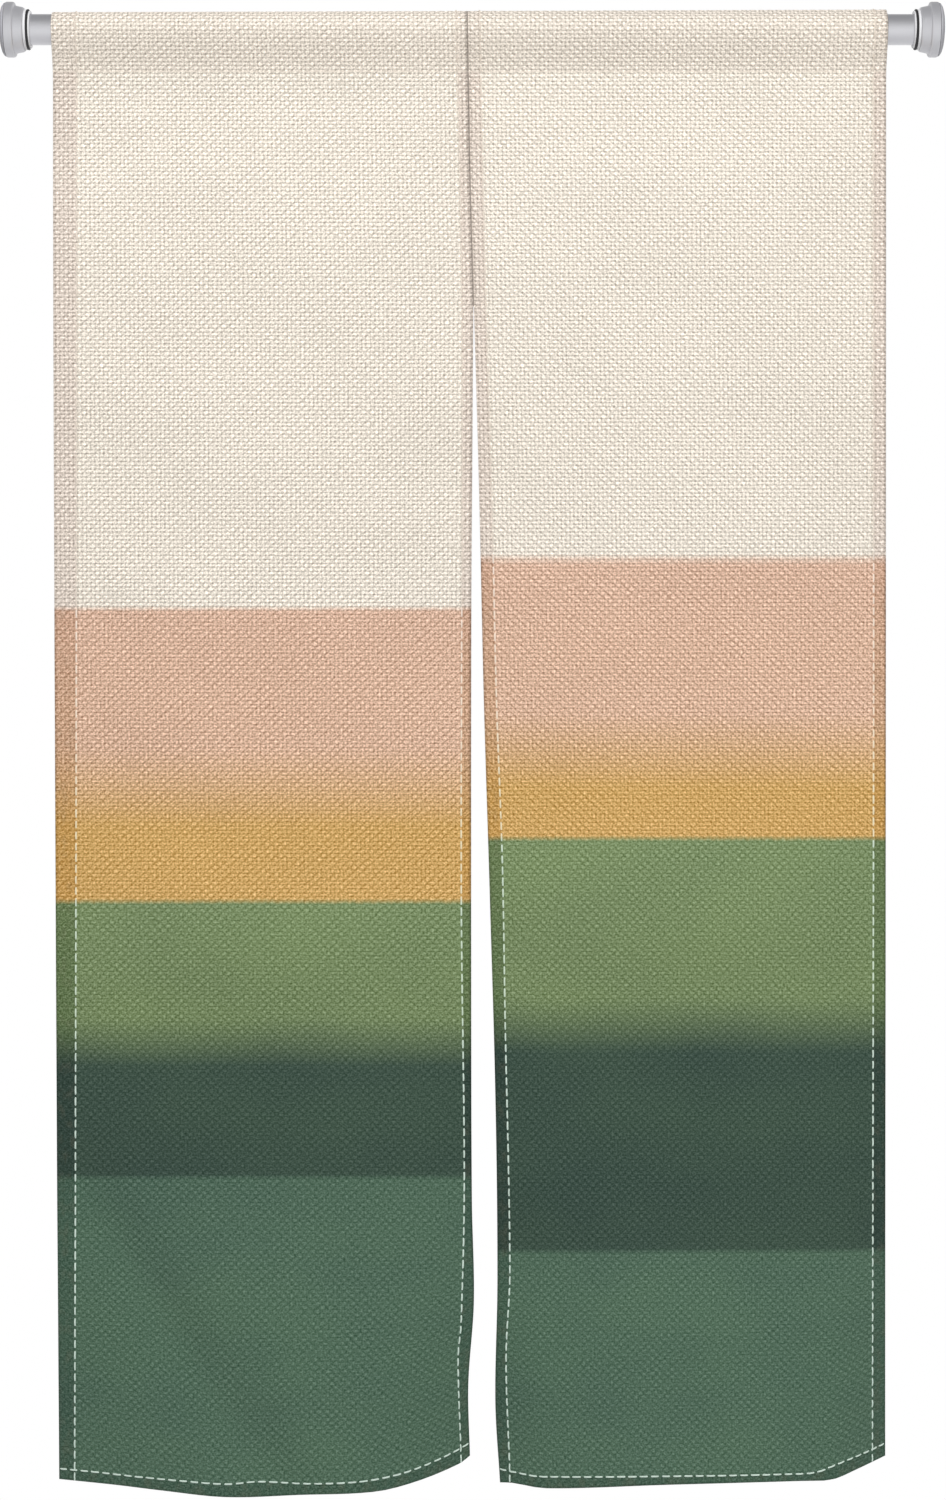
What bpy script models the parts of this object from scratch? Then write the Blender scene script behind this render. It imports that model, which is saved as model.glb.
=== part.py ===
"""Noren curtain: two cloth panels sewn together at the top, on a plain tension rod.

All lengths are in metres. X runs along the rod to the viewer's right, Y points away from the
viewer and Z up. The origin is the middle of the left foot pad's wall face, on the rod's axis.
"""
import math

import bmesh
import bpy

for leftover in list(bpy.data.objects):
    bpy.data.objects.remove(leftover)

MM = 0.001

# Rod and its ends
ROD_SPAN = 0.960
TUBE_RADIUS = 0.0155
TUBE_WALL = 0.0012
FIT_GAP = 0.0003
PAD_RADIUS = 0.0268
PAD_LAND_RADIUS = 0.018
PAD_CROWN = 0.0036
PAD_THICKNESS = 0.0046
FLANGE_RADIUS = 0.0278
FLANGE_END = 0.0140
COLLAR_ROOT_RADIUS = 0.0239
COLLAR_MOUTH_RADIUS = 0.0218
COLLAR_END = 0.0247
GROOVE_START = 0.0259
GROOVE_END = 0.0287
GROOVE_RADIUS = 0.0178
LIP_RADIUS = 0.0186
LIP_END = 0.0302
SOCKET_FLOOR = 0.0120
EDGE_ROUND = 0.0008
RING_RADIUS = 0.0205
TURNED_STEPS = 40
PAD_RIM_STEPS = 5
MERGE_DISTANCE = 0.00001

# Cloth and its making up
CLOTH = 0.0016
HEM_LAYERS = 2.0
OUTER_HEM_WIDE = 0.0245
HEM_NARROW = 0.0125
HEM_STEP = 0.002
ROD_CLEARANCE = 0.0005
POCKET_SEAM_Z = -0.0427
POCKET_CREASE_LOW = 0.0002
POCKET_CREASE_HIGH = 0.0032
POCKET_CREASE_SPREAD = 0.35
SLIT_TOP_Z = -0.2777
SEAM_GAP = 0.0004

# The outline below is the one seen from this point, in front of the middle of the cloth
EYE = (0.481, -3.2, -0.735)

# Upright edges of the panels. Columns: height, x, in millimetres
LEFT_PANEL_OUTER = ((20, 52.2), (-276, 52.6), (-735, 54.3), (-1143, 56.3), (-1480, 58.6))
JOIN_LINE = ((20, 475.3), (-152, 478.2), (-278, 481.6))
LEFT_PANEL_SLIT = (
    (-278, 481.4), (-400, 480.6), (-610, 479.3), (-1000, 479.3), (-1194, 480.0),
    (-1297, 482.1), (-1383, 476.4), (-1455, 478.1),
)
RIGHT_PANEL_SLIT = (
    (-278, 481.8), (-480, 487.4), (-684, 492.0), (-888, 498.2), (-1092, 503.8),
    (-1276, 505.8), (-1399, 503.6), (-1483, 508.4),
)
RIGHT_PANEL_OUTER = ((20, 902.7), (-735, 902.4), (-1480, 901.7))

# Hem lines at the foot of the panels. Columns: x, height, in millimetres
LEFT_PANEL_FOOT = (
    (58, -1479), (116, -1485), (165, -1491), (227, -1497.5), (300, -1495.5),
    (381, -1492), (425, -1481), (467, -1463.5), (478, -1455),
)
RIGHT_PANEL_FOOT = (
    (508, -1482.5), (521, -1483), (555, -1488.5), (678, -1485), (818, -1481),
    (848, -1479.5), (873, -1469), (902, -1455),
)
FOOT_CORNER_Z = -1.480

# Depth of the folds at the foot. Columns: share of the width from the left, depth in millimetres
LEFT_PANEL_FOLDS = ((0, 7), (0.22, -8), (0.45, -18), (0.75, -8), (1, 4))
RIGHT_PANEL_FOLDS = ((0, 8), (0.15, -4), (0.36, -15), (0.68, -8), (1, 6))
FOLD_GROWTH = 1.6
FOLD_FOOT_Z = -1.490

# Corners that curl away from the viewer. Columns: share of the width where the curl starts, where
# it is deepest, depth there in millimetres
LEFT_PANEL_CURLS = ((0.12, 0, 7), (0.80, 1, 34))
RIGHT_PANEL_CURLS = ((0.12, 0, 14), (0.85, 1, 42))
CURL_GROWTH = 5.0
CURL_SHAPE = 1.6

# Soft trough that runs down across the lower left panel: its two ends (x, z), depth, half width,
# and the share of its length over which it fades in about its upper end
TROUGH_START = (0.085, -1.184)
TROUGH_END = (0.264, -1.460)
TROUGH_DEPTH = 0.013
TROUGH_HALF_WIDTH = 0.034
TROUGH_FADE = 0.35

# Fineness of the cloth's mesh
SLANT_ROWS = 3
WRAP_ROWS = 14
BODY_ROWS = 30
BODY_ROWS_CROWDING = 0.35
HEM_ROWS = 2
INNER_COLUMNS = 13
HEM_COLUMNS = 2


def collection_for(name):
    collection = bpy.data.collections.new(name)
    bpy.context.scene.collection.children.link(collection)
    return collection


CURTAIN = collection_for("noren_curtain")
FRAME = bpy.data.objects.new("curtain_frame", None)
CURTAIN.objects.link(FRAME)


def principled(name, colour, roughness, metallic=0.0):
    material = bpy.data.materials.new(name)
    material.use_nodes = True
    shader = material.node_tree.nodes["Principled BSDF"]
    shader.inputs["Base Color"].default_value = (*colour, 1.0)
    shader.inputs["Roughness"].default_value = roughness
    shader.inputs["Metallic"].default_value = metallic
    material.diffuse_color = (*colour, 1.0)
    return material


CREAM_CLOTH = principled("cream_cotton_linen", (0.80, 0.75, 0.67), 0.9)
DYED_CLOTH = principled("green_cotton_linen", (0.14, 0.25, 0.11), 0.9)
TUBE_ENAMEL = principled("silver_enamel", (0.66, 0.66, 0.68), 0.35, 0.4)
CAP_PLASTIC = principled("grey_white_plastic", (0.60, 0.60, 0.63), 0.4)
RING_RUBBER = principled("black_rubber", (0.03, 0.03, 0.035), 0.7)
PAD_RUBBER = principled("grey_rubber", (0.50, 0.50, 0.52), 0.85)


def add_object(name, mesh, material):
    piece = bpy.data.objects.new(name, mesh)
    piece.data.materials.append(material)
    piece.parent = FRAME
    CURTAIN.objects.link(piece)
    return piece


def turned(name, profile, closed, material):
    """Turn a profile of (radius, height) points, given top to bottom on its outer side."""
    mesh = bpy.data.meshes.new(name)
    points = [(radius, 0.0, height) for radius, height in profile]
    edges = [(i, i + 1) for i in range(len(points) - 1)]
    if closed:
        edges.append((len(points) - 1, 0))
    mesh.from_pydata(points, edges, [])
    piece = add_object(name, mesh, material)
    screw = piece.modifiers.new("turn", "SCREW")
    screw.angle = math.tau
    screw.steps = TURNED_STEPS
    screw.render_steps = TURNED_STEPS
    screw.use_merge_vertices = True
    screw.merge_threshold = MERGE_DISTANCE
    screw.use_smooth_shade = True
    return piece


def stand_at_end(piece, right_end):
    """Lay a piece that was turned about Z along the rod, its foot on the left or right wall face."""
    if right_end:
        piece.location = (ROD_SPAN, 0.0, 0.0)
        piece.rotation_euler = (0.0, -math.pi / 2, 0.0)
    else:
        piece.rotation_euler = (0.0, math.pi / 2, 0.0)


def rod_tube():
    """Round tube, open at both ends, that reaches into the sockets of the caps."""
    start = SOCKET_FLOOR + FIT_GAP
    length = ROD_SPAN - 2 * start
    inner = TUBE_RADIUS - TUBE_WALL
    profile = [(TUBE_RADIUS, length), (TUBE_RADIUS, 0.0), (inner, 0.0), (inner, length)]
    tube = turned("rod_tube", profile, True, TUBE_ENAMEL)
    tube.location = (start, 0.0, 0.0)
    tube.rotation_euler = (0.0, math.pi / 2, 0.0)


def end_cap(name, right_end):
    """Moulded cap: flange, tapered collar, groove for the ring, lip, and a socket for the tube."""
    socket_radius = TUBE_RADIUS + FIT_GAP
    profile = [
        (0.0, SOCKET_FLOOR),
        (socket_radius, SOCKET_FLOOR),
        (socket_radius, LIP_END),
        (LIP_RADIUS, LIP_END),
        (LIP_RADIUS, GROOVE_END),
        (GROOVE_RADIUS, GROOVE_END),
        (GROOVE_RADIUS, GROOVE_START),
        (COLLAR_MOUTH_RADIUS - EDGE_ROUND, GROOVE_START),
        (COLLAR_MOUTH_RADIUS, COLLAR_END),
        (COLLAR_ROOT_RADIUS, FLANGE_END),
        (FLANGE_RADIUS - EDGE_ROUND, FLANGE_END),
        (FLANGE_RADIUS, FLANGE_END - EDGE_ROUND),
        (FLANGE_RADIUS, PAD_THICKNESS + FIT_GAP + EDGE_ROUND),
        (FLANGE_RADIUS - EDGE_ROUND, PAD_THICKNESS + FIT_GAP),
        (0.0, PAD_THICKNESS + FIT_GAP),
    ]
    stand_at_end(turned(name, profile, False, CAP_PLASTIC), right_end)


def seal_ring(name, right_end):
    """Rubber ring that sits in the groove at the cap's mouth."""
    inner = GROOVE_RADIUS + FIT_GAP
    low = GROOVE_START + FIT_GAP
    high = GROOVE_END - FIT_GAP
    middle = (low + high) / 2
    profile = [
        (RING_RADIUS - EDGE_ROUND, high),
        (RING_RADIUS, middle),
        (RING_RADIUS - EDGE_ROUND, low),
        (inner, low),
        (inner, high),
    ]
    stand_at_end(turned(name, profile, True, RING_RUBBER), right_end)


def foot_pad(name, right_end):
    """Round pad with a flat land in the middle and a crowned rim."""
    rim = []
    for step in range(PAD_RIM_STEPS + 1):
        share = step / PAD_RIM_STEPS
        radius = PAD_LAND_RADIUS + (PAD_RADIUS - PAD_LAND_RADIUS) * math.sin(share * math.pi / 2)
        height = PAD_CROWN * (1.0 - math.cos(share * math.pi / 2))
        rim.append((radius, height))
    profile = [(0.0, PAD_THICKNESS), (PAD_RADIUS, PAD_THICKNESS), *reversed(rim), (0.0, 0.0)]
    stand_at_end(turned(name, profile, False, PAD_RUBBER), right_end)


def smooth_curve(table, at):
    """Value of a smooth curve through the rows (place, value) of a table, in order of place."""
    rows = sorted(table)
    count = len(rows)
    slopes = []
    for i in range(count):
        before = rows[max(i - 1, 0)]
        after = rows[min(i + 1, count - 1)]
        slopes.append((after[1] - before[1]) / (after[0] - before[0]))
    at = min(max(at, rows[0][0]), rows[-1][0])
    i = 0
    while i < count - 2 and at > rows[i + 1][0]:
        i += 1
    span = rows[i + 1][0] - rows[i][0]
    t = (at - rows[i][0]) / span
    rise = rows[i + 1][1] - rows[i][1]
    ease = t * t * (3.0 - 2.0 * t)
    lead_in = t * (1.0 - t) ** 2 * slopes[i] * span
    lead_out = t * t * (t - 1.0) * slopes[i + 1] * span
    return rows[i][1] + rise * ease + lead_in + lead_out


def smooth_step(low, high, at):
    share = min(max((at - low) / (high - low), 0.0), 1.0)
    return share * share * (3.0 - 2.0 * share)


def panel_edges(side, z):
    """Left and right edge of a panel at one height, in metres."""
    height = z / MM
    if side == "left":
        outer = smooth_curve(LEFT_PANEL_OUTER, height) * MM
        if z > SLIT_TOP_Z:
            return outer, smooth_curve(JOIN_LINE, height) * MM - SEAM_GAP / 2
        return outer, smooth_curve(LEFT_PANEL_SLIT, height) * MM
    outer = smooth_curve(RIGHT_PANEL_OUTER, height) * MM
    if z > SLIT_TOP_Z:
        return smooth_curve(JOIN_LINE, height) * MM + SEAM_GAP / 2, outer
    return smooth_curve(RIGHT_PANEL_SLIT, height) * MM, outer


def trough_depth(x, z):
    """How far the diagonal trough sets the cloth back at a point."""
    run_x = TROUGH_END[0] - TROUGH_START[0]
    run_z = TROUGH_END[1] - TROUGH_START[1]
    length = math.hypot(run_x, run_z)
    from_x = x - TROUGH_START[0]
    from_z = z - TROUGH_START[1]
    along = (from_x * run_x + from_z * run_z) / length ** 2
    aside = (from_x * run_z - from_z * run_x) / length
    fade = smooth_step(-TROUGH_FADE, TROUGH_FADE, along)
    return TROUGH_DEPTH * fade * math.exp(-(aside / TROUGH_HALF_WIDTH) ** 2)


def fold_depth(side, share, x, z):
    """Distance that the hanging cloth stands behind the rod's middle plane."""
    folds, curls = (LEFT_PANEL_FOLDS, LEFT_PANEL_CURLS)
    if side == "right":
        folds, curls = (RIGHT_PANEL_FOLDS, RIGHT_PANEL_CURLS)
    drop = min(max((z - POCKET_SEAM_Z) / (FOLD_FOOT_Z - POCKET_SEAM_Z), 0.0), 1.0)
    depth = smooth_curve(folds, share) * MM * drop ** FOLD_GROWTH
    for start, deepest, curl in curls:
        reach = min(max((share - start) / (deepest - start), 0.0), 1.0)
        depth += curl * MM * reach ** CURL_SHAPE * drop ** CURL_GROWTH
    if side == "left":
        depth += trough_depth(x, z)
    return depth


def on_sight_line(x, depth, z):
    """Move a point of the seen outline along the line of sight to its own depth."""
    scale = (depth - EYE[1]) / -EYE[1]
    return (EYE[0] + (x - EYE[0]) * scale, depth, EYE[2] + (z - EYE[2]) * scale)


def pocket_path():
    """Section of the pocket as (y, z, share of the crease), from its front seam round to the back."""
    radius = TUBE_RADIUS + ROD_CLEARANCE + CLOTH / 2
    lean = math.acos(radius / -POCKET_SEAM_Z)
    touch_y = radius * math.sin(lean)
    touch_z = -radius * math.cos(lean)
    slant = []
    for row in range(SLANT_ROWS):
        share = row / SLANT_ROWS
        slant.append((touch_y * share, POCKET_SEAM_Z + (touch_z - POCKET_SEAM_Z) * share, 0.0))
    front = [(-y, z, crease) for y, z, crease in slant]
    wrap = []
    for row in range(WRAP_ROWS + 1):
        angle = lean + (math.tau - 2 * lean) * row / WRAP_ROWS
        crease = math.exp(-((angle - math.pi) / POCKET_CREASE_SPREAD) ** 2)
        wrap.append((-radius * math.sin(angle), -radius * math.cos(angle), crease))
    return front + wrap + slant[::-1]


def body_heights(foot):
    """Heights of the rows of the hanging cloth, from the foot up to just under the pocket seam."""
    hem_top = foot + HEM_NARROW
    last = hem_top + HEM_STEP
    heights = [foot, hem_top]
    for row in range(BODY_ROWS, 0, -1):
        share = row / BODY_ROWS
        share *= 1.0 + BODY_ROWS_CROWDING * (1.0 - share)
        heights.append(POCKET_SEAM_Z + (last - POCKET_SEAM_Z) * share)
    return heights


def column_places(side, left, right):
    """Places of the columns across a panel: hem, its inner edge, plain cloth, and hem again."""
    hem_left, hem_right = (OUTER_HEM_WIDE, HEM_NARROW)
    if side == "right":
        hem_left, hem_right = (HEM_NARROW, HEM_NARROW)
    first = left + hem_left + HEM_STEP
    last = right - hem_right - HEM_STEP
    places = [left, left + hem_left]
    places += [first + (last - first) * i / INNER_COLUMNS for i in range(INNER_COLUMNS + 1)]
    return places + [right - hem_right, right]


def cloth_panel(name, side, foot_table, material):
    """One panel: a sheet from its foot up over the rod and back down to the pocket seam."""
    wrap = pocket_path()
    body_rows = BODY_ROWS + HEM_ROWS
    rows = body_rows + len(wrap)
    columns = INNER_COLUMNS + 1 + 2 * HEM_COLUMNS
    mesh = bpy.data.meshes.new(name)
    sheet = bmesh.new()
    bmesh.ops.create_grid(sheet, x_segments=columns - 1, y_segments=rows - 1, size=0.5)
    hemmed = []
    foot_x = column_places(side, *panel_edges(side, FOOT_CORNER_Z))
    for vertex in sheet.verts:
        column = round((vertex.co.x + 0.5) * (columns - 1))
        row = round((vertex.co.y + 0.5) * (rows - 1))
        if row < body_rows:
            z = body_heights(smooth_curve(foot_table, foot_x[column] / MM) * MM)[row]
            left, right = panel_edges(side, z)
            x = column_places(side, left, right)[column]
            depth = fold_depth(side, (x - left) / (right - left), x, z)
            in_side_hem = min(column, columns - 1 - column) < HEM_COLUMNS and row < body_rows - 1
            if row < HEM_ROWS or in_side_hem:
                hemmed.append(vertex.index)
                depth += CLOTH * (HEM_LAYERS - 1.0) / 2
            vertex.co = on_sight_line(x, depth, z)
        else:
            y, z, crease = wrap[row - body_rows]
            x = column_places(side, *panel_edges(side, z))[column]
            along = (x - LEFT_PANEL_OUTER[0][1] * MM) / (RIGHT_PANEL_OUTER[0][1] * MM)
            lift = POCKET_CREASE_LOW + (POCKET_CREASE_HIGH - POCKET_CREASE_LOW) * along
            vertex.co = (x, y, z + crease * lift)
    sheet.to_mesh(mesh)
    sheet.free()
    panel = add_object(name, mesh, material)
    mesh.shade_smooth()
    hem_group = panel.vertex_groups.new(name="hem")
    hem_group.add(hemmed, 1.0, "REPLACE")
    weld = panel.modifiers.new("sew_pocket", "WELD")
    weld.merge_threshold = MERGE_DISTANCE
    thicken = panel.modifiers.new("cloth_thickness", "SOLIDIFY")
    thicken.solidify_mode = "NON_MANIFOLD"
    thicken.nonmanifold_thickness_mode = "FIXED"
    thicken.nonmanifold_boundary_mode = "NONE"
    thicken.thickness = CLOTH * HEM_LAYERS
    thicken.offset = 0.0
    thicken.vertex_group = hem_group.name
    thicken.thickness_vertex_group = 1.0 / HEM_LAYERS


rod_tube()
for end_name, is_right in (("left", False), ("right", True)):
    end_cap("cap_" + end_name, is_right)
    seal_ring("ring_" + end_name, is_right)
    foot_pad("pad_" + end_name, is_right)
cloth_panel("panel_left", "left", LEFT_PANEL_FOOT, CREAM_CLOTH)
cloth_panel("panel_right", "right", RIGHT_PANEL_FOOT, DYED_CLOTH)
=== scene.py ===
"""Looks of the noren curtain on its tension rod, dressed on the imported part.

Lengths are in metres. X runs along the rod to the viewer's right, Y points away from the viewer
and Z up. The origin is the middle of the left foot pad's wall face, on the rod's axis.
"""

import math

import bpy
import numpy as np
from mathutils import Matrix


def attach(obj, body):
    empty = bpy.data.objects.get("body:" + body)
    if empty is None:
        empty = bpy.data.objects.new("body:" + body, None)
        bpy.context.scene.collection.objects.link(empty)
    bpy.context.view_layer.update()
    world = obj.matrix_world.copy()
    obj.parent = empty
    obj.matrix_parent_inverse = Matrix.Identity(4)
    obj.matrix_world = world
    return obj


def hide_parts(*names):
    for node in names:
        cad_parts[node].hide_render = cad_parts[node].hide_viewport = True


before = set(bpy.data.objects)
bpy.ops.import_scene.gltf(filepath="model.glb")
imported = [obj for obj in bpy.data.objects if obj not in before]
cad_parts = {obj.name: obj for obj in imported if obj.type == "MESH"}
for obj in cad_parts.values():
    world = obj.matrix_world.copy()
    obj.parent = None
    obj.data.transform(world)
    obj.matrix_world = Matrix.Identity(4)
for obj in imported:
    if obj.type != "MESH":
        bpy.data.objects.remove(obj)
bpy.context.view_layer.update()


# Stage: the curtain hangs before a plain white ground. The camera stands in front of the middle of
# the cloth. Soft light comes from the front and, for the other views, from behind. The sky is darker
# straight above, which shades what faces up, and glossy pieces mirror a sky of their own.
EYE = (0.481, -3.2, -0.735)
VIEW_HEIGHT = 1.5306
SENSOR = 36.0
LIGHT_SKY = (
    (0.15, (0.56, 0.56, 0.56, 1.0)), (0.42, (0.98, 0.98, 0.98, 1.0)), (0.60, (0.90, 0.90, 0.90, 1.0)),
    (0.90, (0.12, 0.12, 0.13, 1.0)),
)
LIGHT_STRENGTH = 0.56
GLOSS_SKY = (
    (0.00, (0.72, 0.72, 0.73, 1.0)), (0.25, (0.90, 0.90, 0.90, 1.0)), (0.45, (0.86, 0.86, 0.86, 1.0)),
    (0.62, (0.72, 0.72, 0.72, 1.0)), (0.94, (0.30, 0.30, 0.30, 1.0)), (1.00, (0.25, 0.25, 0.26, 1.0)),
)
GLOSS_STRENGTH = 0.95
WHITE = (1.0, 1.0, 1.0, 1.0)
MIDDLE = (0.48, 0.0, -0.80)
FLOOR_X = (-1.12, 2.08)
FLOOR_Y = (-1.6, 1.8)
FLOOR_Z = -1.95

scene = bpy.context.scene
scene.view_settings.view_transform = "Standard"
scene.view_settings.look = "None"

camera_data = bpy.data.cameras.new("photo_camera")
camera_data.sensor_width = SENSOR
camera_data.lens = SENSOR * -EYE[1] / VIEW_HEIGHT
camera_data.clip_start = 0.05
camera_data.clip_end = 50.0
camera = bpy.data.objects.new("photo_camera", camera_data)
camera.location = EYE
camera.rotation_euler = (math.pi / 2, 0.0, 0.0)
scene.collection.objects.link(camera)
scene.camera = camera


def srgb(code):
    """Linear colour of an sRGB hex code."""
    values = []
    for start in (1, 3, 5):
        value = int(code[start:start + 2], 16) / 255
        values.append(value / 12.92 if value <= 0.04045 else ((value + 0.055) / 1.055) ** 2.4)
    return (*values, 1.0)


def add_node(tree, kind, *values, inputs=None, **settings):
    """Add a node with its settings. Its inputs are values or other nodes' outputs, in order or by name."""
    node = tree.nodes.new(kind)
    for name, value in settings.items():
        setattr(node, name, value)
    for socket, value in (*enumerate(values), *(inputs or {}).items()):
        if isinstance(value, bpy.types.NodeSocket):
            tree.links.new(value, node.inputs[socket])
        else:
            node.inputs[socket].default_value = value
    return node


def colour_stops(tree, at, stops):
    """Colour that changes through stops, each a place from 0 to 1 with a linear colour."""
    ramp = add_node(tree, "ShaderNodeValToRGB", at)
    elements = ramp.color_ramp.elements
    elements.remove(elements[-1])
    for number, (place, colour) in enumerate(stops):
        element = elements[0] if number == 0 else elements.new(place)
        element.position = place
        element.color = colour
    return ramp.outputs[0]


world = bpy.data.worlds.new("studio")
world.use_nodes = True
scene.world = world
tree = world.node_tree
tree.nodes.clear()
sky = add_node(tree, "ShaderNodeTexCoord").outputs["Generated"]
sky_up = add_node(tree, "ShaderNodeSeparateXYZ", sky).outputs["Z"]
sky_height = add_node(tree, "ShaderNodeMath", sky_up, 0.5, 0.5, operation="MULTIPLY_ADD").outputs[0]
light_colour = colour_stops(tree, sky_height, LIGHT_SKY)
light_part = add_node(tree, "ShaderNodeBackground", light_colour, LIGHT_STRENGTH).outputs[0]
gloss_colour = colour_stops(tree, sky_height, GLOSS_SKY)
gloss_part = add_node(tree, "ShaderNodeBackground", gloss_colour, GLOSS_STRENGTH).outputs[0]
seen_part = add_node(tree, "ShaderNodeBackground", WHITE, 1.0).outputs[0]
ray = add_node(tree, "ShaderNodeLightPath").outputs
unseen_part = add_node(tree, "ShaderNodeMixShader", ray["Is Glossy Ray"], light_part, gloss_part).outputs[0]
studio = add_node(tree, "ShaderNodeMixShader", ray["Is Camera Ray"], unseen_part, seen_part).outputs[0]
add_node(tree, "ShaderNodeOutputWorld", studio)


def area_light(name, place, target, size, power):
    """Large soft light that looks from its place at a target."""
    lamp = bpy.data.lights.new(name, "AREA")
    lamp.size = size
    lamp.energy = power
    holder = bpy.data.objects.new(name, lamp)
    holder.location = place
    holder.visible_glossy = False
    holder.visible_camera = False
    aim = np.array(target) - np.array(place)
    flat_run = math.hypot(aim[0], aim[1])
    holder.rotation_euler = (math.pi / 2 + math.atan2(aim[2], flat_run), 0.0, math.atan2(-aim[0], aim[1]))
    scene.collection.objects.link(holder)


area_light("key", (0.05, -2.6, 1.9), (0.48, 0.0, -0.70), 1.6, 80.0)
area_light("fill", (2.3, -2.6, -0.9), MIDDLE, 2.2, 19.0)
area_light("back", (1.3, 2.6, 1.5), MIDDLE, 1.8, 60.0)

floor_mesh = bpy.data.meshes.new("floor")
floor_corners = [(FLOOR_X[i], FLOOR_Y[j], FLOOR_Z) for i, j in ((0, 0), (1, 0), (1, 1), (0, 1))]
floor_mesh.from_pydata(floor_corners, [], [(0, 1, 2, 3)])
floor = bpy.data.objects.new("floor", floor_mesh)
scene.collection.objects.link(floor)
floor_paint = bpy.data.materials.new("studio_floor")
floor_paint.use_nodes = True
floor_paint.node_tree.nodes["Principled BSDF"].inputs["Base Color"].default_value = srgb("#f2f2f2")
floor_paint.node_tree.nodes["Principled BSDF"].inputs["Roughness"].default_value = 0.9
floor_mesh.materials.append(floor_paint)
floor.visible_glossy = False


# Cloth panels: plain-woven cotton and linen, about 1.2 mm thick with coarse threads 4 mm apart. Each
# is one length of cloth: its sides and foot are turned back once and sewn down, and its top goes
# over the rod and is sewn down behind, which makes the pocket that it hangs by.
MM = 0.001
CLOTH = 0.0012
BODY_LENGTH = 1.448
LEFT_WIDTH = 0.4225
RIGHT_WIDTH = 0.4268
POCKET_RADIUS = 0.0168
POCKET_SEAM_Z = -0.0427
POCKET_CREASE_LOW = 0.0002
POCKET_CREASE_HIGH = 0.0032
POCKET_CREASE_SPREAD = 0.35
POCKET_SLACK = 0.0005
POCKET_SLACK_PITCH = 0.034
FLAP_LENGTH = 0.006
FLAP_EASE = 0.030
SLANT_SAG = 0.3
SLIT_TOP_Z = -0.2777
SEAM_GAP = 0.0004
FOOT_CORNER_Z = -1.480
FOOT_DROP_Z = -1.490
SETTLE_FROM_Z = -1.20
FREE_BELOW_SEAM = 0.06
FOLD_PAST_STITCH = 0.0015

# Relief of the threads, and how finely the plain inner face is drawn
WEFT_PITCH = 0.0040
WARP_PITCH = 0.0044
WEFT_OVER = 0.00020
WEFT_UNDER = -0.00012
WEFT_GROOVE = -0.00014
HEM_FLATNESS = 0.15
EDGE_INSET = 0.0006
HEM_STEP = 0.0002
FOOT_CLEAR = 0.022
SEAM_CLEAR = 0.004
INNER_BODY_ROWS = 200
INNER_POCKET_ROWS = 44
INNER_FOOT_ROWS = 3
INNER_COLUMNS = 32
SLANT_POINTS = 60

# Gathers along the sewn lines: height, spacing, distance of the highest from the line, and reach
PUCKER_WAVES = ((1.0, 1.0, 0.0), (0.7, 0.61, 1.3), (0.5, 0.37, 4.0))
POCKET_PUCKER = (0.0004, 0.019, 0.0, 0.012)
SIDE_PUCKER = (0.00035, 0.023, 0.006, 0.009)
FOOT_PUCKER = (0.0004, 0.021, 0.018, 0.010)
FOOT_PUCKER_SHIFT = 0.31

# Outlines of the panels in millimetres: height and x of the upright edges, x and height at the foot
LEFT_PANEL_OUTER = ((20, 52.2), (-276, 52.6), (-735, 54.3), (-1143, 56.3), (-1480, 58.6))
JOIN_LINE = ((20, 475.3), (-152, 478.2), (-278, 481.6))
LEFT_PANEL_SLIT = (
    (-278, 481.4), (-400, 480.6), (-610, 479.3), (-1000, 479.3), (-1194, 480.0),
    (-1297, 482.1), (-1383, 476.4), (-1455, 478.1),
)
RIGHT_PANEL_SLIT = (
    (-278, 481.8), (-480, 487.4), (-684, 492.0), (-888, 498.2), (-1092, 503.8),
    (-1276, 505.8), (-1399, 503.6), (-1483, 508.4),
)
RIGHT_PANEL_OUTER = ((20, 902.7), (-735, 902.4), (-1480, 901.7))
LEFT_PANEL_FOOT = (
    (58, -1479), (116, -1485), (165, -1491), (227, -1497.5), (300, -1495.5),
    (381, -1492), (425, -1481), (467, -1463.5), (478, -1455),
)
RIGHT_PANEL_FOOT = (
    (508, -1482.5), (521, -1483), (555, -1488.5), (678, -1485), (818, -1481),
    (848, -1479.5), (873, -1469), (902, -1455),
)

# Depths behind the rod in millimetres: folds by share of the width, curls from a share to a share
LEFT_PANEL_FOLDS = ((0, 7), (0.22, -8), (0.45, -18), (0.75, -8), (1, 4))
RIGHT_PANEL_FOLDS = ((0, 8), (0.15, -4), (0.36, -15), (0.68, -8), (1, 6))
FOLD_GROWTH = 1.6
LEFT_PANEL_CURLS = ((0.12, 0, 7), (0.80, 1, 34))
RIGHT_PANEL_CURLS = ((0.12, 0, 14), (0.85, 1, 42))
CURL_GROWTH = 5.0
CURL_SHAPE = 1.6
TROUGH_START = (0.085, -1.184)
TROUGH_END = (0.264, -1.460)
TROUGH_DEPTH = 0.013
TROUGH_HALF_WIDTH = 0.034
TROUGH_FADE = 0.35

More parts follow.
